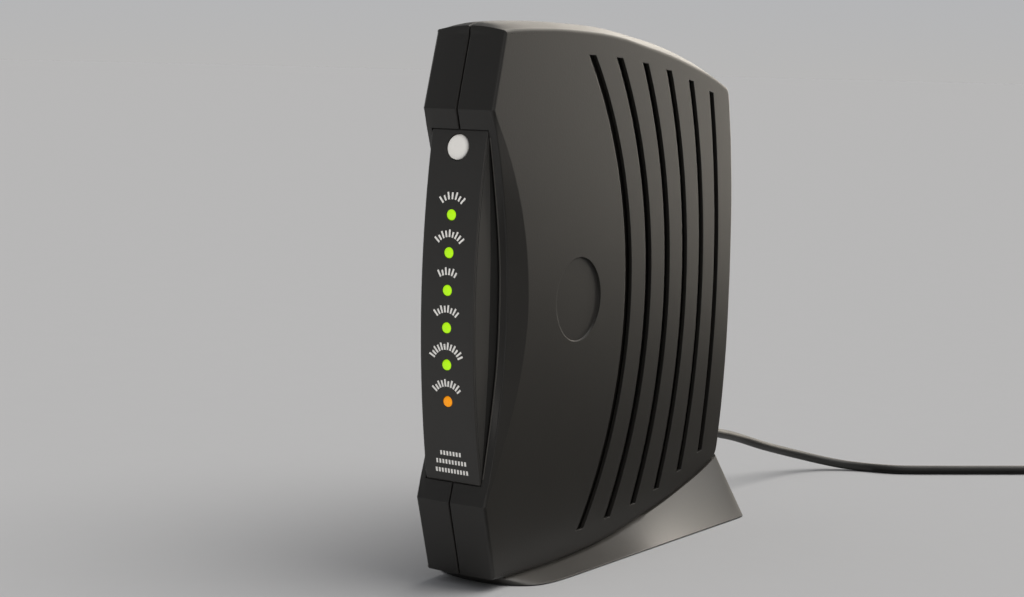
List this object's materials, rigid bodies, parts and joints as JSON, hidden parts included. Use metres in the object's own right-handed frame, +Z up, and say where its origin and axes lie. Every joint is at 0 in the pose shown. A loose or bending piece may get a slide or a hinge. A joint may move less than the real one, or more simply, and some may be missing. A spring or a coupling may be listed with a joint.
{
  "type": "cable modem",
  "caption": "Slim upright cable modem on a flared stand, with bowed lamp panel, press button, curved side vents, rear connectors and power lead.",
  "frame": {"origin": "on the ground plane, under the middle of the stand's underside pad", "axes": "+Z up, -Y out of the front lamp panel, +Y out of the rear connectors, +X the modem's left-hand side as seen from behind"},
  "size_m": [0.1095, 0.2774, 0.16],
  "materials": {
    "charcoal_plastic": "fine moulded texture",
    "bezel_plastic": "fine satin texture",
    "green_lens": "lit translucent lens",
    "amber_lens": "lit translucent lens",
    "lamp_resin": "clear resin",
    "silver_plastic": "satin silver paint",
    "black_plastic": "satin",
    "steel": "tinned sheet",
    "board": "solder mask over glass-fibre laminate",
    "chip_resin": "moulded resin",
    "alloy": "plain extruded",
    "nickel": "nickel plate",
    "capacitor_sleeve": "shrunk sleeve",
    "cream_plastic": "plain",
    "brass": "gold flashed",
    "cord_rubber": "satin jacket",
    "pad_rubber": "matte"
  },
  "bodies": {
    "housing": {"left_shell": "charcoal_plastic", "right_shell": "charcoal_plastic", "rear_panel": "charcoal_plastic", "stand": "charcoal_plastic", "led_panel": "bezel_plastic", "power_light_pipe": "green_lens", "receive_light_pipe": "green_lens", "send_light_pipe": "green_lens", "online_light_pipe": "green_lens", "activity_light_pipe": "green_lens", "standby_light_pipe": "amber_lens", "power_led": "lamp_resin", "receive_led": "lamp_resin", "send_led": "lamp_resin", "online_led": "lamp_resin", "activity_led": "lamp_resin", "standby_led": "lamp_resin", "lan_transformer": "black_plastic", "power_inductor": "black_plastic", "power_socket": "black_plastic", "button_switch": "steel", "reset_switch": "steel", "board_screw_1": "steel", "board_screw_2": "steel", "board_screw_3": "steel", "board_screw_4": "steel", "tuner_screen_frame": "steel", "tuner_screen_lid": "steel", "ethernet_socket": "steel", "circuit_board": "board", "modem_chip": "chip_resin", "memory_chip": "chip_resin", "flash_chip": "chip_resin", "tuner_chip": "chip_resin", "heat_sink": "alloy", "crystal": "nickel", "usb_socket": "nickel", "coax_connector": "nickel", "coax_nut": "nickel", "capacitor_1": "capacitor_sleeve", "capacitor_2": "capacitor_sleeve", "capacitor_3": "capacitor_sleeve", "capacitor_4": "capacitor_sleeve", "usb_tongue": "cream_plastic", "coax_insulator": "cream_plastic", "ethernet_contacts": "brass", "base_pad": "pad_rubber"},
    "standby_button": {"standby_button": "silver_plastic"},
    "switch_plunger": {"button_switch_plunger": "black_plastic"},
    "reset_button": {"reset_button": "black_plastic"},
    "power_lead": {"power_plug": "cord_rubber", "power_cord": "cord_rubber"}
  },
  "joints": [
    {"name": "standby_press", "type": "slide", "parent": "housing", "child": "standby_button", "axis": [0, 1, 0], "range_m": [0, 0.0006], "stiffness_N_per_m": 600},
    {"name": "plunger_press", "type": "slide", "parent": "housing", "child": "switch_plunger", "axis": [0, 1, 0], "range_m": [0, 0.0006]},
    {"name": "reset_press", "type": "slide", "parent": "housing", "child": "reset_button", "axis": [0, -1, 0], "range_m": [0, 0.0005], "stiffness_N_per_m": 600},
    {"name": "power_plug_pull", "type": "slide", "parent": "housing", "child": "power_lead", "axis": [0, 1, 0], "range_m": [0, 0.02]}
  ],
  "couplings": [
    {"joint": "plunger_press", "follows": "standby_press", "ratio": 1}
  ]
}
